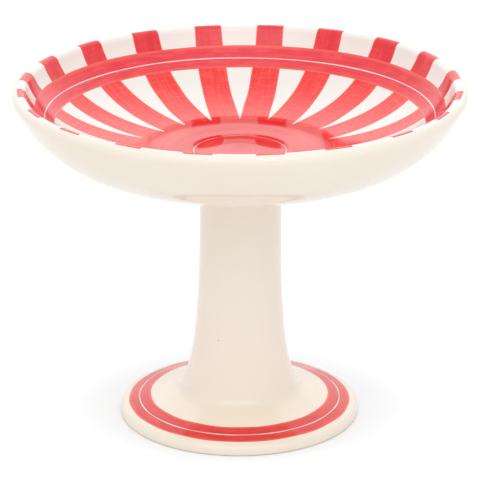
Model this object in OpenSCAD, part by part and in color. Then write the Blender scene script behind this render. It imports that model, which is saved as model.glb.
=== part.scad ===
// Footed compote bowl in glazed earthenware, in millimetres.
// A thrown bowl is luted onto a hollow thrown pedestal, and brush strokes in red
// colour radiate from its middle to the lip, with one ring on the wall and one on the foot.
// The axis of the wheel is Z, and the foot stands on Z = 0 with the origin at its middle.

/* [Bowl] */
// Outside diameter at the rim
rim_d = 250; // [220:1:300]
// Height of the rim's crest above the table
total_h = 193; // [165:1:240]
// Depth of the bowl outside, from the crest down to the flat underside
bowl_h = 45; // [38:0.5:60]
// Thickness of the rounded lip
lip_t = 8; // [6:0.1:10]
// Thickness of the floor in its flat middle
floor_t = 7.7; // [6:0.1:9]
// Diameter of the flat middle of the floor
floor_flat_d = 58; // [48:1:66]
// Slope of the floor outside its flat middle, in degrees
floor_angle = 4; // [3:0.1:5]
// Diameter at which the floor begins to curve up into the wall
floor_d = 104; // [92:1:112]
// Steepness of the wall where it runs into the lip, in degrees
wall_angle = 67; // [60:1:75]
// Rise of the underside just outside the joint, in degrees
under_angle = 1; // [0:0.5:4]
// How far the underside keeps its own direction, as a share of the span from joint to lip
under_pull_share = 0.23; // [0.15:0.01:0.35]
// How far the outside of the wall keeps the lip's direction, as a share of the same span
wall_pull_share = 0.525; // [0.4:0.005:0.6]
// How far the inside keeps the floor's direction, as a share of the span from floor to rim
floor_pull_share = 0.19; // [0.15:0.01:0.3]
// How far the inside of the wall keeps the lip's direction, as a share of the same span
inner_pull_share = 0.41; // [0.34:0.005:0.45]

/* [Pedestal] */
// Outside diameter of the stem at its top
stem_d = 45.8; // [40:0.1:56]
// Thickness of the pedestal's wall
stem_t = 6; // [4.5:0.1:8]
// Outside diameter of the foot
foot_d = 135; // [115:1:160]
// Slope of the foot's upper face, in degrees
foot_slope = 15.6; // [10:0.1:20]
// Rounding of the foot's upper edge
foot_round = 3; // [2:0.1:4]
// Height of the middle of that rounding above the table
foot_edge_h = 3.1; // [2.5:0.1:5]
// Bevel of the foot's lower edge
foot_bevel = 1; // [0.5:0.1:2]
// Width of the bare ring that the foot stands on
foot_ring_w = 9.5; // [6:0.1:14]
// Diameter at which the flare of the stem and the slope of the foot would meet
root_d = 67.6; // [62:0.1:74]
// Steepness of the stem's flare where it runs into the foot, in degrees
flare_angle = 68; // [62:1:74]
// Length of the blend on each side of that meeting place
root_blend = 5; // [3:0.1:7]
// How far the stem stays upright below the joint, as a share of its height
upright_pull_share = 0.49; // [0.4:0.01:0.6]
// How far the flare keeps its direction upwards, as a share of the stem's height
flare_pull_share = 0.195; // [0.12:0.005:0.25]

/* [Joint] */
// Thickness of the slip between the pedestal's top and the bowl
slip_t = 0.8; // [0.5:0.1:1.5]
// Radius of the fillet of slip smoothed round the joint
slip_fillet = 4; // [3:0.1:6]

/* [Painting] */
// Thickness of the fired colour
paint_t = 0.3; // [0.2:0.05:0.5]
// Number of brush strokes round the bowl
stroke_count = 20; // [16:1:22]
// Width of the brush, and so of each stroke
brush_w = 16.2; // [13:0.1:17]
// How far each stroke runs over the lip, outwards from the crest
stroke_over = 1.2; // [0.5:0.1:2.5]
// Distance from the rim in to the ring painted on the wall, measured level
band_inset = 12; // [9:0.1:15]
// Width of that ring, measured level
band_w = 10.4; // [8:0.1:13]
// Distance from the ring's outer edge in to the line scratched through it
band_line_in = 5.3; // [4:0.1:7]
// Width of every scratched line
line_w = 0.5; // [0.3:0.1:1]
// Diameter of the circle scratched in the middle of the bowl
centre_line_d = 51.4; // [40:0.1:54]
// Gap left between the painted middle and the ends of the strokes in the bowl's floor
stroke_gap = 0.3; // [0.2:0.1:0.6]
// Distance from the foot's edge in to the ring painted on it, measured level
foot_band_inset = 4.5; // [4:0.1:7]
// Width of that ring, measured level
foot_band_w = 12.5; // [9:0.1:16]
// Distance from the ring's outer edge in to the line scratched through it
foot_line_in = 5.9; // [4:0.1:7]

/* [Hidden] */
$fn = 120;

// Steps along each curved stretch of an outline
curve_steps = 16;
blend_steps = 5;
round_steps = 8;

cream = [0.94, 0.895, 0.84];
red = [0.83, 0.17, 0.16];

// Places worked out from the sizes above
rim_r = rim_d / 2;
lip_r = lip_t / 2;
crest_r = rim_r - lip_r;
lip_z = total_h - lip_r;
under_z = total_h - bowl_h;
stem_r = stem_d / 2;
bore_r = stem_r - stem_t;
stem_top = under_z - slip_t;
neck_z = under_z - slip_fillet;
seat_r = stem_r + slip_fillet;
foot_r = foot_d / 2;
ring_in_r = foot_r - foot_bevel - foot_ring_w;

// The bowl's underside and wall are one curve from the joint to the lip
lip_low = [crest_r, lip_z] + lip_r * heading(wall_angle - 90);
bowl_span = rim_r - seat_r;
wall_curve = [
    [seat_r, under_z],
    [seat_r, under_z] + bowl_span * under_pull_share * heading(under_angle),
    lip_low - bowl_span * wall_pull_share * heading(wall_angle),
    lip_low
];

// The inside is flat in the middle, then a shallow cone, then one curve up to the lip
flat_r = floor_flat_d / 2;
floor_r = floor_d / 2;
floor_z = under_z + floor_t;
floor_end = [floor_r, floor_z + (floor_r - flat_r) * tan(floor_angle)];
lip_high = [crest_r, lip_z] + lip_r * heading(wall_angle + 90);
inner_span = rim_r - floor_r;
inner_curve = [
    floor_end,
    floor_end + inner_span * floor_pull_share * heading(floor_angle),
    lip_high - inner_span * inner_pull_share * heading(wall_angle),
    lip_high
];

// The foot's upper face is one straight slope, tangent to the rounding of its edge
foot_round_at = [foot_r - foot_round, foot_edge_h];
slope_low = foot_round_at + foot_round * heading(90 - foot_slope);
root_r = root_d / 2;
root = [root_r, slope_low.y + (slope_low.x - root_r) * tan(foot_slope)];
flare_low = root + root_blend * heading(180 - flare_angle);
blend_end = root + root_blend * heading(-foot_slope);
stem_span = neck_z - flare_low.y;
stem_curve = [
    [stem_r, neck_z],
    [stem_r, neck_z - stem_span * upright_pull_share],
    flare_low + stem_span * flare_pull_share * heading(180 - flare_angle),
    flare_low
];
blend_curve = [flare_low, flare_low + (root - flare_low) * 2 / 3, blend_end + (root - blend_end) * 2 / 3, blend_end];

// Where neighbouring strokes touch, and so where the painted middle begins
meet_r = brush_w / 2 / sin(180 / stroke_count);
stroke_in_r = meet_r + stroke_gap;
band_out_r = rim_r - band_inset;
band_in_r = band_out_r - band_w;
band_line_r = band_out_r - band_line_in;
foot_band_out_r = foot_r - foot_band_inset;
foot_band_in_r = foot_band_out_r - foot_band_w;
foot_line_r = foot_band_out_r - foot_line_in;
centre_line_r = centre_line_d / 2;

// A unit step at an angle from level
function heading(a) = [cos(a), sin(a)];

// A point on a cubic curve of four points, and the unit step to the left of its course
function on_curve(p, t) =
    pow(1 - t, 3) * p[0] + 3 * pow(1 - t, 2) * t * p[1] + 3 * (1 - t) * t * t * p[2] + t * t * t * p[3];
function course(p, t) =
    pow(1 - t, 2) * (p[1] - p[0]) + 2 * (1 - t) * t * (p[2] - p[1]) + t * t * (p[3] - p[2]);
function left_of(v) = [-v.y, v.x] / norm(v);

// Points along a curve that is moved to its left by d
function beside(p, d, steps) = [
    for (k = [0 : steps]) on_curve(p, k / steps) + d * left_of(course(p, k / steps))
];

function arc(at, r, a0, a1, steps) = [
    for (k = [0 : steps]) at + r * heading(a0 + (a1 - a0) * k / steps)
];

function backwards(points) = [for (k = [len(points) - 1 : -1 : 0]) points[k]];

// The bowl's inner face from its middle up to the outer end of the lip, raised by d
function inner_face(d) = concat(
    [[0, floor_z + d], [flat_r, floor_z] + d * heading(90 + floor_angle / 2) / cos(floor_angle / 2)],
    beside(inner_curve, d, curve_steps),
    arc([crest_r, lip_z], lip_r + d, wall_angle + 90, wall_angle - 90, round_steps * 2)
);

// The pedestal's outer face from the neck down to the blend's end, sunk by d
function stem_face(d) = concat(
    beside(stem_curve, -d, curve_steps),
    beside(blend_curve, -d, blend_steps)
);

// A point of the foot's upper slope at a given radius, sunk square to the slope by d
function foot_face(r, d) =
    [r, slope_low.y + (slope_low.x - r) * tan(foot_slope) - d / cos(foot_slope)];

module bowl_outline() {
    polygon(concat(
        [[0, under_z]],
        beside(wall_curve, 0, curve_steps),
        backwards(inner_face(0))
    ));
}

module pedestal_outline() {
    polygon(concat(
        [[bore_r, stem_top], [stem_r, stem_top]],
        stem_face(0),
        arc(foot_round_at, foot_round, 90 - foot_slope, 0, round_steps),
        [[foot_r, foot_bevel], [foot_r - foot_bevel, 0], [ring_in_r, 0], foot_face(ring_in_r, stem_t)],
        backwards(stem_face(stem_t))
    ));
}

// Colour on the bowl's inner face, between two radii measured level
module bowl_skin(r0, r1) {
    rotate_extrude()
        intersection() {
            polygon(concat(inner_face(0), backwards(inner_face(paint_t))));
            translate([r0, 0])
                square([r1 - r0, 2 * total_h]);
        }
}

// Colour on the foot's upper slope, between two radii
module foot_skin(r0, r1) {
    rotate_extrude()
        polygon([foot_face(r0, 0), foot_face(r1, 0), foot_face(r1, -paint_t), foot_face(r0, -paint_t)]);
}

// The straight paths of the brush, set evenly with a gap at the back
module brush_paths() {
    for (k = [0 : stroke_count - 1])
        rotate([0, 0, 90 + (k + 0.5) * 360 / stroke_count])
            translate([meet_r, -brush_w / 2, 0])
                cube([rim_r, brush_w, 2 * total_h]);
}

module bowl() {
    color(cream)
        rotate_extrude()
            bowl_outline();
}

module pedestal() {
    color(cream)
        rotate_extrude()
            pedestal_outline();
}

// The slip fills the joint and is smoothed into a fillet round the neck
module joint_slip() {
    color(cream)
        rotate_extrude()
            polygon(concat(
                [[bore_r, stem_top], [bore_r, under_z]],
                arc([seat_r, neck_z], slip_fillet, 90, 180, round_steps),
                [[stem_r, stem_top]]
            ));
}

module rim_strokes() {
    color(red)
        intersection() {
            bowl_skin(band_out_r, crest_r + stroke_over);
            brush_paths();
        }
}

module band_outer_ring() {
    color(red)
        bowl_skin(band_line_r + line_w / 2, band_out_r);
}

module band_inner_ring() {
    color(red)
        bowl_skin(band_in_r, band_line_r - line_w / 2);
}

module floor_strokes() {
    color(red)
        intersection() {
            bowl_skin(stroke_in_r, band_in_r);
            brush_paths();
        }
}

module centre_ring() {
    color(red)
        bowl_skin(centre_line_r + line_w / 2, meet_r);
}

module centre_disc() {
    color(red)
        bowl_skin(0, centre_line_r - line_w / 2);
}

module foot_band_outer() {
    color(red)
        foot_skin(foot_line_r + line_w / 2, foot_band_out_r);
}

module foot_band_inner() {
    color(red)
        foot_skin(foot_band_in_r, foot_line_r - line_w / 2);
}

bowl();
pedestal();
joint_slip();
rim_strokes();
band_outer_ring();
band_inner_ring();
floor_strokes();
centre_ring();
centre_disc();
foot_band_outer();
foot_band_inner();
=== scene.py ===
import math
import random

import bmesh
import bpy
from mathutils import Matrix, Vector


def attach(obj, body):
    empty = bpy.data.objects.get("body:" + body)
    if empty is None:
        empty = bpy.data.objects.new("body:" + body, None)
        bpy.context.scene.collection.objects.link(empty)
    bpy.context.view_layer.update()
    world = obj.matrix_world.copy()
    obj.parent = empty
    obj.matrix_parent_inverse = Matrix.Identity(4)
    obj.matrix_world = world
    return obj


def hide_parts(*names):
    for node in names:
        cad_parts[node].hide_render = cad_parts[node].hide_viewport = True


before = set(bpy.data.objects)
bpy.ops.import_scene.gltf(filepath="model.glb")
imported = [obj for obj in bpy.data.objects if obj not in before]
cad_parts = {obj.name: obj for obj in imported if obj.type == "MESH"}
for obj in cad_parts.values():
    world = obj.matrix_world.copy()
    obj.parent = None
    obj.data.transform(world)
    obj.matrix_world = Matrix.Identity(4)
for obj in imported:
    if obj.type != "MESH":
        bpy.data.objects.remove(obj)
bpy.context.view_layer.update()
print("frame loaded with", len(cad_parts), "nodes")

scene = bpy.context.scene
scene.view_settings.view_transform = "Standard"
mm = 0.001
tiny = 1e-6  # points nearer together than this count as one

# the sizes that several pieces share, the same as in the solids
form = dict(
    rimR=125 * mm, totalH=193 * mm, bowlH=45 * mm, lipT=8 * mm,
    stemR=22.9 * mm, stemT=6 * mm, footR=67.5 * mm, slipT=0.8 * mm, slipFillet=4 * mm,
)
underZ = form["totalH"] - form["bowlH"]
stemTopZ = underZ - form["slipT"]
neckZ = underZ - form["slipFillet"]
seatR = form["stemR"] + form["slipFillet"]
lipR = form["lipT"] / 2
crest = Vector((form["rimR"] - lipR, form["totalH"] - lipR))


# outlines: level and upright distances from the wheel's axis

def held(share):
    return min(max(share, 0), 1)  # never under 0 or over 1


def rise(degrees):
    return math.tan(math.radians(degrees))


def heading(degrees):
    return Vector((math.cos(math.radians(degrees)), math.sin(math.radians(degrees))))


def onCurve(p, t):
    s = 1 - t
    return s**3 * p[0] + 3 * s * s * t * p[1] + 3 * s * t * t * p[2] + t**3 * p[3]


def courseOf(p, t):
    s = 1 - t
    return s * s * (p[1] - p[0]) + 2 * s * t * (p[2] - p[1]) + t * t * (p[3] - p[2])


def beside(p, distance, steps):
    points = []
    for k in range(steps + 1):
        course = courseOf(p, k / steps).normalized()
        points.append(onCurve(p, k / steps) + distance * Vector((-course.y, course.x)))
    return points


def arc(at, r, start, end, steps):
    return [at + r * heading(start + (end - start) * k / steps) for k in range(steps + 1)]


def cleaned(points):
    kept = [points[0]]
    for point in points[1:]:
        if (point - kept[-1]).length > tiny:
            kept.append(point)
    return kept


# a face that colour is laid on, measured along its outline from the inside outwards
class Face:
    def __init__(self, points):
        self.points = cleaned(points)
        self.along = [0.0]
        for a, b in zip(self.points, self.points[1:]):
            self.along.append(self.along[-1] + (b - a).length)

    def at(self, distance, lift):
        last = len(self.points) - 2
        k = 0
        while k < last and self.along[k + 1] < distance:
            k += 1
        step = self.points[k + 1] - self.points[k]
        share = (distance - self.along[k]) / step.length
        before = self.points[max(k - 1, 0)]
        after = self.points[min(k + 2, last + 1)]
        first = (self.points[k + 1] - before).normalized()
        second = (after - self.points[k]).normalized()
        course = first.lerp(second, share).normalized()
        return self.points[k] + step * share + lift * Vector((-course.y, course.x))

    def distanceAt(self, r):
        for k in range(len(self.points) - 1):
            a, b = self.points[k], self.points[k + 1]
            if a.x <= r <= b.x:
                stretch = self.along[k + 1] - self.along[k]
                return self.along[k] + stretch * (r - a.x) / (b.x - a.x)
        return self.along[-1]


# shader maths written as plain sums
class Wire:
    def __init__(self, graph, socket):
        self.graph = graph
        self.socket = socket

    def other(self, out):
        return Wire(self.graph, self.socket.node.outputs[out])

    def maths(self, operation, a, b=0.0):
        return self.graph.add("ShaderNodeMath", {"operation": operation}, {0: a, 1: b})

    def __add__(self, other):
        return self.maths("ADD", self, other)

    def __sub__(self, other):
        return self.maths("SUBTRACT", self, other)

    def __rsub__(self, other):
        return self.maths("SUBTRACT", other, self)

    def __mul__(self, other):
        return self.maths("MULTIPLY", self, other)

    def __or__(self, other):
        return self.maths("MAXIMUM", self, other)  # 1 where either is

    def __gt__(self, other):
        return self.maths("GREATER_THAN", self, other)

    def __lt__(self, other):
        return self.maths("LESS_THAN", self, other)

    def __abs__(self):
        return self.maths("ABSOLUTE", self)

    __radd__ = __add__
    __rmul__ = __mul__
    __ror__ = __or__


# the nodes of one finish, of a lamp or of the surroundings
class Graph:
    def __init__(self, tree):
        self.tree = tree
        self.tree.nodes.clear()

    def add(self, kind, settings, values, out=0):
        node = self.tree.nodes.new(kind)
        for key, value in settings.items():
            setattr(node, key, value)
        for key, value in values.items():
            if isinstance(value, Wire):
                self.tree.links.new(value.socket, node.inputs[key])
            else:
                node.inputs[key].default_value = value
        return Wire(self, node.outputs[out]) if node.outputs else None

    def place(self):
        return self.add("ShaderNodeTexCoord", {}, {}, "Object")

    def strokeMap(self):
        return self.add("ShaderNodeUVMap", {"uv_map": "brush"}, {})

    def stretched(self, vector, scale):
        return self.add("ShaderNodeMapping", {}, {"Vector": vector, "Scale": scale})

    def noise(self, vector, scale, detail, roughness):
        values = {"Vector": vector, "Scale": scale, "Detail": detail, "Roughness": roughness}
        return self.add("ShaderNodeTexNoise", {}, values)

    def mix(self, share, a, b):
        # the colours of this node go in at 6 and 7 and come out at 2
        settings = {"data_type": "RGBA", "clamp_factor": True}
        return self.add("ShaderNodeMix", settings, {0: share, 6: a, 7: b}, 2)

    def fade(self, wire, low, high):
        values = {"Value": wire, "From Min": low, "From Max": high}
        return self.add("ShaderNodeMapRange", {"interpolation_type": "SMOOTHSTEP"}, values)

    def bump(self, height, strength, distance):
        values = {"Height": height, "Strength": strength, "Distance": distance}
        return self.add("ShaderNodeBump", {}, values)

    def seen(self):
        # 1 for what the camera sees, straight, mirrored or through glass
        straight = self.add("ShaderNodeLightPath", {}, {}, "Is Camera Ray")
        return straight | straight.other("Is Glossy Ray") | straight.other("Is Transmission Ray")


class Finish(Graph):
    def __init__(self, name):
        self.material = bpy.data.materials.new(name)
        self.material.use_nodes = True
        super().__init__(self.material.node_tree)

    def surface(self, values):
        return self.add("ShaderNodeBsdfPrincipled", {}, values)

    def done(self, shader):
        self.add("ShaderNodeOutputMaterial", {}, {"Surface": shader})
        return self.material


def colour(r, g, b):
    # from screen values of 0 to 255 to linear light, by the screen's own curve
    linear = []
    for value in (r, g, b):
        share = value / 255
        linear.append(share / 12.92 if share <= 0.04045 else ((share + 0.055) / 1.055) ** 2.4)
    return (*linear, 1.0)


glazeIor = 1.5  # the clear glaze over cream and red

creamLook = dict(
    base=colour(243, 232, 218), warm=colour(241, 228, 211), gloss=0.06,
    clouds=(9.0, 2.0, 0.6), cloudsFrom=0.35, cloudsTo=0.7,  # a noise's scale, detail, roughness
    paintedLightCream=colour(241, 241, 235),  # painted light: a paler, less yellow cream inside the bowl, where the light falls strongest
    speck=colour(150, 112, 80), speckCell=11 * mm, speckR=0.035, speckRare=0.86, speckShare=0.6,
    peel=(90.0, 1.0, 0.4), peelShare=0.05, peelDepth=0.4 * mm,
)


def glazedCream():
    look = creamLook
    f = Finish("glazed cream")
    place = f.place()
    clouds = f.fade(f.noise(place, *look["clouds"]), look["cloudsFrom"], look["cloudsTo"])
    # painted light: 0 on the outside, 1 inside the bowl, where the cream is painted paler
    slip = f.add("ShaderNodeAttribute", {"attribute_name": "slip"}, {}, "Fac")
    body = f.mix(slip, f.mix(clouds, look["base"], look["warm"]), look["paintedLightCream"])
    cells = {"Vector": place, "Scale": 1 / look["speckCell"]}
    near = f.add("ShaderNodeTexVoronoi", {}, cells, "Distance")
    pick = f.add("ShaderNodeSeparateColor", {}, {"Color": near.other("Color")}, "Red")
    speck = (near < look["speckR"]) * (pick > look["speckRare"])
    return f.done(f.surface({
        "Base Color": f.mix(speck * look["speckShare"], body, look["speck"]),
        "Roughness": look["gloss"],
        "IOR": glazeIor,
        "Normal": f.bump(f.noise(place, *look["peel"]), look["peelShare"], look["peelDepth"]),
    }))


clayLook = dict(
    base=colour(214, 184, 156), dark=colour(196, 160, 130), roughness=0.85,
    grain=(900.0, 3.0, 0.7), grainShare=0.3, grainDepth=0.15 * mm,
)


def bareClay():
    look = clayLook
    f = Finish("bare clay")
    grain = f.noise(f.place(), *look["grain"])
    return f.done(f.surface({
        "Base Color": f.mix(grain, look["base"], look["dark"]),
        "Roughness": look["roughness"],
        "Normal": f.bump(grain, look["grainShare"], look["grainDepth"]),
    }))


# the marks in the red: detail and roughness of each noise, and the heights it comes up between
marks = dict(
    bristles=(3.0, 0.6, 0.45, 0.7), turns=(2.0, 0.6, 0.45, 0.7), clouds=(2.0, 0.5, 0.3, 0.7),
)

# each red gives its marks' scale across and along the brush's way, and their share
strokeLook = dict(
    deep=colour(241, 30, 37), bright=colour(254, 93, 79), thin=colour(254, 118, 86), gloss=0.05,
    bristles=(9, 28, 0.55), turns=(0.8, 520, 0.4), clouds=(1.1, 70, 0.15),
    rimFrom=0.88, rimShare=0.75, onWheel=False,
)
# painted shade: the strokes on the rim are the same strokes as on the floor, in a deeper red that
# stands in for the darker surroundings the glaze reflects there; their marks are fainter too
rimShadeLook = dict(
    strokeLook,
    deep=colour(224, 26, 42), bright=colour(244, 80, 80), thin=colour(247, 108, 90),
    bristles=(9, 28, 0.38), turns=(0.8, 520, 0.24), clouds=(1.1, 70, 0.3),
)
ringLook = dict(
    deep=colour(231, 40, 60), bright=colour(247, 93, 96), thin=colour(248, 112, 92), gloss=0.05,
    bristles=(14, 22, 0.5), turns=(3, 90, 0.3), clouds=(0.6, 55, 0.3),
    rimFrom=0.7, rimShare=0.7, onWheel=True,  # laid on while the wheel turned
)
middleLook = dict(
    ringLook, deep=colour(224, 30, 38), bright=colour(243, 86, 76),
    bristles=(10, 12, 0.35), turns=(4, 30, 0.15), clouds=(0.8, 35, 0.4),
)
footLook = dict(ringLook, deep=colour(216, 30, 40), bright=colour(238, 78, 70))


def brushedRed(name, look):
    # bristles leave streaks along the brush's way, and the clay's turning marks cross them
    f = Finish(name)
    brush = f.strokeMap()
    across = f.add("ShaderNodeSeparateXYZ", {}, {"Vector": brush}, "X")
    if look["onWheel"]:
        # the places on the wheel stand in for the brush's way, so that a ring has no seam
        level = f.add("ShaderNodeSeparateXYZ", {}, {"Vector": f.place()}, "X")
        values = {"X": across, "Y": level, "Z": level.other("Y")}
        brush = f.add("ShaderNodeCombineXYZ", {}, values)
    layers = []
    for kind, (detail, roughness, low, high) in marks.items():
        wide, long, share = look[kind]
        noise = f.noise(f.stretched(brush, (wide, long, long)), 1.0, detail, roughness)
        layers.append(f.fade(noise, low, high) * share)
    light = layers[0] + layers[1] + layers[2]
    body = f.mix(light, look["deep"], look["bright"])
    rim = f.fade(abs(across), look["rimFrom"], 1.0)
    return f.done(f.surface({
        "Base Color": f.mix(rim * look["rimShare"], body, look["thin"]),
        "Roughness": look["gloss"],
        "IOR": glazeIor,
    }))


cream = glazedCream()
clay = bareClay()
strokeRed = brushedRed("stroke red", strokeLook)
rimShadeRed = brushedRed("rim red", rimShadeLook)
ringRed = brushedRed("ring red", ringLook)
middleRed = brushedRed("middle red", middleLook)
footRed = brushedRed("foot red", footLook)
print("finishes mixed")


# the wall dried a little out of true, from trueR out, most of all at the back on the right
warp = dict(
    trueR=98 * mm, fullR=122 * mm, widen=0.6 * mm, lift=0.3 * mm,
    riseUp=1.5 * mm, riseAt=57, riseReach=65,  # degrees clockwise from the back
)
sharpAbove = 35  # degrees: an edge that bends more stays crisp


def dried(place):
    share = held((math.hypot(place.x, place.y) - warp["trueR"]) / (warp["fullR"] - warp["trueR"]))
    share = share * share * (3 - 2 * share)
    off = abs(math.degrees(math.atan2(place.x, place.y)) - warp["riseAt"]) / warp["riseReach"]
    up = warp["lift"] + warp["riseUp"] * math.cos(math.pi / 2 * min(off, 1)) ** 2
    wide = 1 + warp["widen"] / form["rimR"] * share
    return Vector((place.x * wide, place.y, place.z + up * share))


def finished(name, bm, materials):
    for vert in bm.verts:
        vert.co = dried(vert.co)
    mesh = bpy.data.meshes.new(name)
    bm.to_mesh(mesh)
    bm.free()
    piece = bpy.data.objects.new(name, mesh)
    scene.collection.objects.link(piece)
    for material in materials:
        mesh.materials.append(material)
    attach(piece, "root")
    return piece


def turned(outline, steps):
    # turns an outline round the wheel's axis, closing it there where it starts or ends
    bm = bmesh.new()
    row = [bm.verts.new((max(p.x, 0), 0, p.y)) for p in outline]
    edges = [bm.edges.new(pair) for pair in zip(row, row[1:])]
    if outline[0].x > tiny:
        edges.append(bm.edges.new((row[-1], row[0])))
    bmesh.ops.spin(
        bm, geom=row + edges, cent=(0, 0, 0), axis=(0, 0, 1), dvec=(0, 0, 0),
        angle=math.tau, steps=steps, use_merge=True,
    )
    bmesh.ops.remove_doubles(bm, verts=bm.verts[:], dist=tiny)
    bmesh.ops.recalc_face_normals(bm, faces=bm.faces[:])
    for face in bm.faces:
        face.smooth = True
    for edge in bm.edges:
        if edge.is_manifold and edge.calc_face_angle() > math.radians(sharpAbove):
            edge.smooth = False
    return bm


# the bowl, between an outer and an inner curve
# each pull is how far a curve keeps to its angle at one end, as a share of its span
bowl = dict(
    floorT=7.7 * mm, floorFlatR=29 * mm, floorAngle=4, floorR=52 * mm, wallAngle=67,
    floorPull=0.19, innerPull=0.41, underAngle=1, underPull=0.23, wallPull=0.525,
    floorSoft=1.5 * mm,  # a sponge softened the turn in the floor this far each way
    # rings left by the fingers: from, to, degrees of slope
    fingerRings=[(8 * mm, 14.6 * mm, 0.5), (14.6 * mm, 27.5 * mm, -1.0)],
    slipFrom=2 * mm, slipOver=6 * mm,  # how far in from the outside the painted paler cream starts, and how soon it is full
    turns=256, wallSteps=60, lipSteps=28, innerSteps=75,
    paintSteps=120, paintLipSteps=60,  # finer, for the face that is painted
)
lipLow = crest + lipR * heading(bowl["wallAngle"] - 90)
bowlSpan = form["rimR"] - seatR
seat = Vector((seatR, underZ))
wallCurve = [
    seat,
    seat + bowlSpan * bowl["underPull"] * heading(bowl["underAngle"]),
    lipLow - bowlSpan * bowl["wallPull"] * heading(bowl["wallAngle"]),
    lipLow,
]
floorRise = (bowl["floorR"] - bowl["floorFlatR"]) * rise(bowl["floorAngle"])
floorEnd = Vector((bowl["floorR"], underZ + bowl["floorT"] + floorRise))
lipHigh = crest + lipR * heading(bowl["wallAngle"] + 90)
innerSpan = form["rimR"] - bowl["floorR"]
innerCurve = [
    floorEnd,
    floorEnd + innerSpan * bowl["floorPull"] * heading(bowl["floorAngle"]),
    lipHigh - innerSpan * bowl["innerPull"] * heading(bowl["wallAngle"]),
    lipHigh,
]


def floorSlope(r):
    # flat, then a shallow cone
    soft = bowl["floorSoft"]
    slope = bowl["floorAngle"] * held((r - bowl["floorFlatR"] + soft) / (2 * soft))
    for start, end, tilt in bowl["fingerRings"]:
        if start < r < end:
            slope += tilt * math.sin(math.pi * (r - start) / (end - start))
    return rise(slope)


def innerFace(steps):
    # worked inwards from where the wall begins
    stride = bowl["floorR"] / steps
    points = [floorEnd]
    for k in range(steps - 1, -1, -1):
        drop = stride * floorSlope((k + 0.5) * stride)
        points.append(Vector((k * stride, points[-1].y - drop)))
    points.reverse()
    return points[:-1] + beside(innerCurve, 0, steps)


def makeBowl():
    outer = [Vector((0, underZ)), Vector((form["stemR"] / 2, underZ))]
    outer += beside(wallCurve, 0, bowl["wallSteps"])
    inner = arc(crest, lipR, bowl["wallAngle"] - 90, bowl["wallAngle"] + 90, bowl["lipSteps"])
    inner += list(reversed(innerFace(bowl["innerSteps"])))
    bm = turned(cleaned(outer + inner), bowl["turns"])
    # painted light: how much paler the cream is painted, growing from the outside of the wall
    # inwards and over the lip
    slip = bm.verts.layers.float.new("slip")
    reach = {}
    for vert in bm.verts:
        # how far in from the outside of the wall, worked out once for each ring of points
        place = Vector((math.hypot(vert.co.x, vert.co.y), vert.co.z))
        key = (round(place.x, 6), round(place.y, 6))
        if key not in reach:
            away = min((place - point).length for point in outer)
            reach[key] = held((away - bowl["slipFrom"]) / bowl["slipOver"])
        vert[slip] = reach[key]
    piece = finished("bowl_piece", bm, [cream])
    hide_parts("bowl")


# the pedestal, a hollow stem that flares into a foot
pedestal = dict(
    footSlope=15.6, footRound=3 * mm, footEdgeH=3.1 * mm, footBevel=1 * mm, footRingW=9.5 * mm,
    rootR=33.8 * mm, flareAngle=68, rootBlend=5 * mm, uprightPull=0.49, flarePull=0.195,
    leanFoot=-0.45 * mm, leanNeck=0.5 * mm,  # it was luted on slightly out of true
    wipedH=0.35 * mm,  # the glaze is wiped off the ring that stands in the kiln
    # where the foot's top and its underside have points of their own
    topAt=(44 * mm, 50 * mm, 56 * mm, 62 * mm), underAt=(56 * mm, 50 * mm, 44 * mm),
    turns=192, stemSteps=60, blendSteps=12, roundSteps=12, bevelSteps=5,
    innerStemSteps=50, innerBlendSteps=10,
)
footRoundAt = Vector((form["footR"] - pedestal["footRound"], pedestal["footEdgeH"]))
slopeLow = footRoundAt + pedestal["footRound"] * heading(90 - pedestal["footSlope"])
slopeRise = rise(pedestal["footSlope"])
rootZ = slopeLow.y + (slopeLow.x - pedestal["rootR"]) * slopeRise
root = Vector((pedestal["rootR"], rootZ))
flareLow = root + pedestal["rootBlend"] * heading(180 - pedestal["flareAngle"])
blendEnd = root + pedestal["rootBlend"] * heading(-pedestal["footSlope"])
stemSpan = neckZ - flareLow.y
stemCurve = [
    Vector((form["stemR"], neckZ)),
    Vector((form["stemR"], neckZ - stemSpan * pedestal["uprightPull"])),
    flareLow + stemSpan * pedestal["flarePull"] * heading(180 - pedestal["flareAngle"]),
    flareLow,
]
blendCurve = [flareLow, flareLow.lerp(root, 2 / 3), blendEnd.lerp(root, 2 / 3), blendEnd]


def footFace(r, sunk):
    drop = sunk / math.cos(math.radians(pedestal["footSlope"]))
    return Vector((r, slopeLow.y + (slopeLow.x - r) * slopeRise - drop))


def lean(z):
    foot, neck = pedestal["leanFoot"], pedestal["leanNeck"]
    return foot + (neck - foot) * held(z / neckZ)


def leant(bm):
    for vert in bm.verts:
        vert.co.x += lean(vert.co.z)
    return bm


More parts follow.
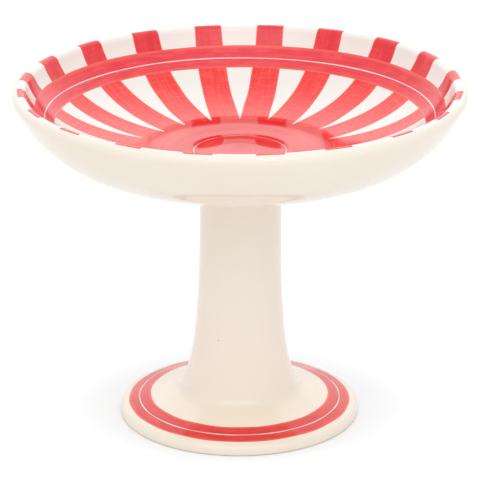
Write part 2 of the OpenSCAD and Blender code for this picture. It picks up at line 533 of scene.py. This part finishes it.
def makePedestal():
    bevel = pedestal["footBevel"]
    steps = pedestal["bevelSteps"]
    ringIn = form["footR"] - bevel - pedestal["footRingW"]
    outer = [Vector((form["stemR"] - form["stemT"], stemTopZ)), Vector((form["stemR"], stemTopZ))]
    outer += beside(stemCurve, 0, pedestal["stemSteps"])
    outer += beside(blendCurve, 0, pedestal["blendSteps"])
    outer += [footFace(r, 0) for r in pedestal["topAt"]]
    outer += arc(
        footRoundAt, pedestal["footRound"], 90 - pedestal["footSlope"], 0, pedestal["roundSteps"],
    )
    outer += arc(Vector((form["footR"] - bevel, bevel)), bevel, 0, -90, steps)
    outer += [Vector((ringIn + bevel, 0))]
    outer += arc(Vector((ringIn + bevel, bevel)), bevel, -90, -180, steps)
    hollow = beside(stemCurve, -form["stemT"], pedestal["innerStemSteps"])
    hollow += beside(blendCurve, -form["stemT"], pedestal["innerBlendSteps"])
    inner = [footFace(r, form["stemT"]) for r in pedestal["underAt"]]
    inner += list(reversed(hollow))
    bm = leant(turned(cleaned(outer + inner), pedestal["turns"]))
    piece = finished("pedestal_piece", bm, [cream, clay])
    for polygon in piece.data.polygons:
        if polygon.center.z < pedestal["wipedH"]:
            polygon.material_index = 1
    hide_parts("pedestal")


# the ring of slip that lutes the two together
slipRing = dict(turns=192, filletSteps=16)


def makeSlip():
    innerR = form["stemR"] - form["stemT"]
    outline = [Vector((innerR, stemTopZ)), Vector((innerR, underZ))]
    outline += arc(Vector((seatR, neckZ)), form["slipFillet"], 90, 180, slipRing["filletSteps"])
    outline += [Vector((form["stemR"], stemTopZ))]
    bm = leant(turned(cleaned(outline), slipRing["turns"]))
    piece = finished("joint_slip_piece", bm, [cream])
    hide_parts("joint_slip")


makeBowl()
makePedestal()
makeSlip()
print("clay pieces turned")


# painting: each patch of colour is a thin skin that follows the face it is laid on
lipArc = arc(crest, lipR, bowl["wallAngle"] + 90, bowl["wallAngle"] - 90, bowl["paintLipSteps"])
bowlFace = Face(innerFace(bowl["paintSteps"]) + lipArc)
footTop = Face([footFace(pedestal["rootR"] + pedestal["rootBlend"], 0), footFace(slopeLow.x, 0)])
print("inner face", round(bowlFace.along[-1] / mm, 1), "mm from middle to lip")

paint = dict(
    skin=0.25 * mm, weld=1e-7,
    phase=(0, 6.3),  # a wave in a border may start anywhere in its round
)


def skinned(name, node, bm, red):
    bmesh.ops.remove_doubles(bm, verts=bm.verts[:], dist=paint["weld"])
    for face in bm.faces:
        face.smooth = True
    for edge in bm.edges:
        edge.smooth = not edge.is_boundary
    piece = finished(name, bm, [red])
    thick = piece.modifiers.new("thickness", "SOLIDIFY")
    thick.thickness = paint["skin"]
    thick.offset = -1
    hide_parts(node)


def patch(bm, cells, place, length, shift, span=(-1, 1)):
    # a grid of the brush's own places, across from -1 to 1 and along from 0 to 1, moved to the face
    # span is the part of the brush's width that the patch shows, 1 and -1 being its thin borders
    uvLayer = bm.loops.layers.uv.get("brush") or bm.loops.layers.uv.new("brush")
    across, along = cells
    made = bmesh.ops.create_grid(bm, x_segments=across, y_segments=along, size=1)["verts"]
    for face in {face for vert in made for face in vert.link_faces}:
        for loop in face.loops:
            u = span[0] + (span[1] - span[0]) * (loop.vert.co.x + 1) / 2
            v = (loop.vert.co.y + 1) / 2
            loop[uvLayer].uv = (u, v * length + shift)
    for vert in made:
        vert.co = place(vert.co.x, (vert.co.y + 1) / 2)


def wavering(waves, u, at):
    # each of the two borders wavers in its own way
    half = len(waves) // 2
    own = waves[:half] if u > 0 else waves[half:]
    return sum(size * math.sin(pitch * at + phase) for pitch, phase, size in own)


def swung(point, angle, shift=0):
    x, y = point.x * math.cos(angle), point.x * math.sin(angle)
    return Vector((x + shift, y, point.y))


# the ring on the wall and the one on the foot, each with a line scratched through it
wallBand = dict(
    face=bowlFace, red=ringRed, lift=0.075 * mm, leaning=False,
    outR=form["rimR"] - 12 * mm, width=10.4 * mm, lineIn=5.3 * mm, lineW=0.42 * mm,
    outer=("band_outer_piece", "band_outer_ring", 7),  # each with its seed
    inner=("band_inner_piece", "band_inner_ring", 8),
)
footBand = dict(
    face=footTop, red=footRed, lift=0.025 * mm, leaning=True,
    outR=form["footR"] - 4.5 * mm, width=12.5 * mm, lineIn=5.9 * mm, lineW=0.55 * mm,
    outer=("foot_outer_piece", "foot_band_outer", 11),
    inner=("foot_inner_piece", "foot_band_inner", 12),
)
rings = dict(
    waves=6, count=(5, 17), share=(0.3, 1.0), wobble=0.08 * mm,
    cells=(10, 256), shift=0.71,  # the shift gives each ring its own stretch of brushwork
)


def makeRing(name, node, band, innerR, outerR, seed, span):
    chance = random.Random(seed)
    start = band["face"].distanceAt(innerR)
    end = band["face"].distanceAt(outerR)
    waves = []
    for _ in range(rings["waves"]):
        count, phase = chance.randint(*rings["count"]), chance.uniform(*paint["phase"])
        waves.append((count, phase, chance.uniform(*rings["share"]) * rings["wobble"]))

    def place(u, v):
        angle = math.tau * v
        distance = start + (end - start) * (u + 1) / 2 + wavering(waves, u, angle) * abs(u)
        point = band["face"].at(distance, band["lift"])
        return swung(point, angle, lean(point.y) if band["leaning"] else 0)

    bm = bmesh.new()
    length = math.tau * (innerR + outerR) / 2
    patch(bm, rings["cells"], place, length, seed * rings["shift"], span)
    skinned(name, node, bm, band["red"])


def makeBand(band):
    lineR = band["outR"] - band["lineIn"]
    half = band["lineW"] / 2
    name, node, seed = band["outer"]
    makeRing(name, node, band, lineR + half, band["outR"], seed, (0, 1))
    name, node, seed = band["inner"]
    makeRing(name, node, band, band["outR"] - band["width"], lineR - half, seed, (-1, 0))


# the strokes, which run under the ring on the wall, and meet round the painted middle
strokes = dict(
    count=20, width=16.2 * mm,
    wider={2: 1.4 * mm, 3: 0.9 * mm, 18: 0.6 * mm},  # the brush pressed harder there
    lift=0.03 * mm, overlapLift=0.02 * mm,  # every other one lies on its neighbours
    # how far each was painted off its even place, in degrees clockwise from the back
    drift=[
        -0.4, -0.75, 0.2, 0.35, 0.9, 0.3, 0.1, 0.6, 2.2, 1.6,
        1.3, 1.4, 2.3, 1.9, 2.4, -0.9, -2.3, -1.6, -0.8, -0.1,
    ],
    pressed=(0.98, 1.02), waves=4, pitch=(90, 260),
    wave=(0.04, 0.12), slant=0.25,  # both in mm
    cells=(14, 40), shift=1.37,
)
meetR = strokes["width"] / 2 / math.sin(math.pi / strokes["count"])
rimStrokes = dict(
    red=rimShadeRed, seed=3, innerR=wallBand["outR"], outerR=form["rimR"] - lipR,
    pastInner=1 * mm, pastOuter=1.2 * mm, narrow=0.7 * mm,  # narrower where the brush lifts
)
floorStrokes = dict(
    red=strokeRed, seed=5, innerR=meetR, outerR=wallBand["outR"] - wallBand["width"],
    pastInner=1 * mm, pastOuter=1 * mm, narrow=0,
)


def layStroke(bm, k, start, end, narrow, chance):
    turn = math.radians(90 - (k + 0.5) * 360 / strokes["count"] - strokes["drift"][k])
    width = strokes["width"] + strokes["wider"].get(k, 0)
    half = width / 2 * chance.uniform(*strokes["pressed"])
    waves = []
    for _ in range(strokes["waves"]):
        pitch, phase = chance.uniform(*strokes["pitch"]), chance.uniform(*paint["phase"])
        waves.append((pitch, phase, chance.uniform(*strokes["wave"]) * mm))
    slant = chance.uniform(-strokes["slant"], strokes["slant"]) * mm
    lift = strokes["lift"] + k % 2 * strokes["overlapLift"]

    def place(u, v):
        distance = start + (end + slant * u - start) * v
        point = bowlFace.at(distance, lift)
        level = (half + wavering(waves, u, distance) - narrow / 2 * v * v) * u
        return swung(point, turn + math.asin(level / point.x))

    patch(bm, strokes["cells"], place, end - start, k * strokes["shift"])


def makeStrokes(name, node, red, seed, innerR, outerR, pastInner, pastOuter, narrow):
    chance = random.Random(seed)
    bm = bmesh.new()
    start = bowlFace.distanceAt(innerR) - pastInner
    end = bowlFace.distanceAt(outerR) + pastOuter
    for k in range(strokes["count"]):
        layStroke(bm, k, start, end, narrow, chance)
    bmesh.ops.reverse_faces(bm, faces=bm.faces[:])  # outwards, so that the skin goes into the clay
    skinned(name, node, bm, red)


# the painted middle, a ring round a disc, with a circle scratched between them
middle = dict(
    face=bowlFace, red=middleRed, lift=0.075 * mm, leaning=False,
    lineR=25.7 * mm, lineW=0.42 * mm, span=(-0.6, 0.6),
    outer=("centre_ring_piece", "centre_ring", 9),
    inner=("centre_disc_piece", "centre_disc", 10),
    discCells=(16, 256), discLength=200 * mm,  # as a stroke of the brush that goes round once
)


def makeDisc(name, node, outerR, seed):
    # its grid runs from the centre point out
    end = bowlFace.distanceAt(outerR)

    def place(u, v):
        return swung(bowlFace.at(end * (u + 1) / 2, middle["lift"]), math.tau * v)

    bm = bmesh.new()
    shift = seed * rings["shift"]
    patch(bm, middle["discCells"], place, middle["discLength"], shift, middle["span"])
    skinned(name, node, bm, middle["red"])


def makeMiddle():
    half = middle["lineW"] / 2
    name, node, seed = middle["outer"]
    makeRing(name, node, middle, middle["lineR"] + half, meetR, seed, middle["span"])
    name, node, seed = middle["inner"]
    makeDisc(name, node, middle["lineR"] - half, seed)


makeStrokes("rim_strokes_piece", "rim_strokes", **rimStrokes)
makeStrokes("floor_strokes_piece", "floor_strokes", **floorStrokes)
makeBand(wallBand)
makeMiddle()
makeBand(footBand)
print("colour laid on")


# surroundings
white = (1, 1, 1, 1)
black = (0, 0, 0, 1)
ground = dict(
    size=6.0,
    near=(0.89, 0.915, 0.942, 1),  # painted: cooler near the object, to cancel the warm light its cream bounces onto the floor
    far=(0.945, 0.945, 0.945, 1), farR=0.6,
    # painted shadow: for the camera the floor glows less near the foot and runs out to white round
    # it, in a shadow wider than it is deep
    paintedShadowGlow=(0.045, 0.045, 0.045, 1), glowFar=(0.155, 0.155, 0.155, 1),
    shadowR=75 * mm, clearR=120 * mm, squash=1.3,
)


def makeFloor():
    bm = bmesh.new()
    bmesh.ops.create_grid(bm, x_segments=1, y_segments=1, size=ground["size"] / 2)
    mesh = bpy.data.meshes.new("floor")
    bm.to_mesh(mesh)
    bm.free()
    floor = bpy.data.objects.new("floor", mesh)
    scene.collection.objects.link(floor)
    f = Finish("floor paper")
    level = f.stretched(f.place(), (1, ground["squash"], 1))
    away = f.add("ShaderNodeVectorMath", {"operation": "LENGTH"}, {0: level}, "Value")
    beyond = f.fade(away, ground["clearR"], ground["farR"])
    # painted: the floor's colour is cooler near the object, against the warm light its cream
    # bounces there
    paper = f.surface({
        "Base Color": f.mix(beyond, ground["near"], ground["far"]),
        "Roughness": 1.0,
        "Specular IOR Level": 0.0,
    })
    # painted shadow: the floor's glow is weaker near the foot, and full beyond clearR
    outOfPaintedShadow = f.fade(away, ground["shadowR"], ground["clearR"])
    bright = f.mix(outOfPaintedShadow, ground["paintedShadowGlow"], ground["glowFar"])
    glow = f.add("ShaderNodeEmission", {}, {"Color": bright, "Strength": 1.0})
    none = f.add("ShaderNodeEmission", {}, {"Color": black, "Strength": 0.0})
    lit = f.add("ShaderNodeMixShader", {}, {0: f.seen(), 1: none, 2: glow})
    mesh.materials.append(f.done(f.add("ShaderNodeAddShader", {}, {0: paper, 1: lit})))


softLight = 0.83  # what the surroundings shed on the object, where the camera sees them as 1


def makeWorld():
    world = bpy.data.worlds.new("studio")
    world.use_nodes = True
    scene.world = world
    g = Graph(world.node_tree)
    shown = g.add("ShaderNodeBackground", {}, {"Color": white, "Strength": 1.0})
    soft = g.add("ShaderNodeBackground", {}, {"Color": white, "Strength": softLight})
    both = g.add("ShaderNodeMixShader", {}, {0: g.seen(), 1: soft, 2: shown})
    g.add("ShaderNodeOutputWorld", {}, {"Surface": both})


# glow is how much brighter than the surroundings the middle of a lamp looks
lamps = {
    "top softbox": dict(at=(0, 0.1, 1.6), aim=(0, 0.1, 0.15), size=(3.4, 2.6), glow=0.12),
    "back softbox": dict(at=(0, 1.5, 1.05), aim=(0, 0, 0.15), size=(3.4, 2.0), glow=0.6),
    "front softbox": dict(at=(0, -1.3, 1.55), aim=(0, 0, 0.15), size=(3.0, 1.7), glow=1.4),
}


def makeLamp(name, at, aim, size, glow):
    data = bpy.data.lights.new(name, "AREA")
    data.shape = "RECTANGLE"
    data.size, data.size_y = size
    data.energy = glow * math.pi * size[0] * size[1]
    data.use_nodes = True
    g = Graph(data.node_tree)
    place = g.add("ShaderNodeNewGeometry", {}, {}, "Parametric")
    level = g.add("ShaderNodeSeparateXYZ", {}, {0: place}, "X")
    # 4 t (1 - t) each way: nothing at one border, 1 in the middle, nothing at the other
    fades = [4 * t * (1 - t) for t in (level, level.other("Y"))]
    emission = g.add("ShaderNodeEmission", {}, {"Color": white, "Strength": fades[0] * fades[1]})
    g.add("ShaderNodeOutputLight", {}, {"Surface": emission})
    lamp = bpy.data.objects.new(name, data)
    scene.collection.objects.link(lamp)
    lamp.location = at
    lamp.rotation_euler = (Vector(aim) - Vector(at)).to_track_quat("-Z", "Y").to_euler()
    lamp.visible_camera = False


view = dict(at=(0, -1575.4 * mm, 676.9 * mm), pitch=20.03, lens=223.98, sensor=36)


def makeCamera():
    data = bpy.data.cameras.new("camera")
    data.sensor_width = view["sensor"]
    data.lens = view["lens"]
    camera = bpy.data.objects.new("camera", data)
    scene.collection.objects.link(camera)
    camera.location = view["at"]
    camera.rotation_euler = (math.radians(90 - view["pitch"]), 0, 0)
    scene.camera = camera


makeFloor()
makeWorld()
for name, lamp in lamps.items():
    makeLamp(name, **lamp)
makeCamera()
print("studio set up")
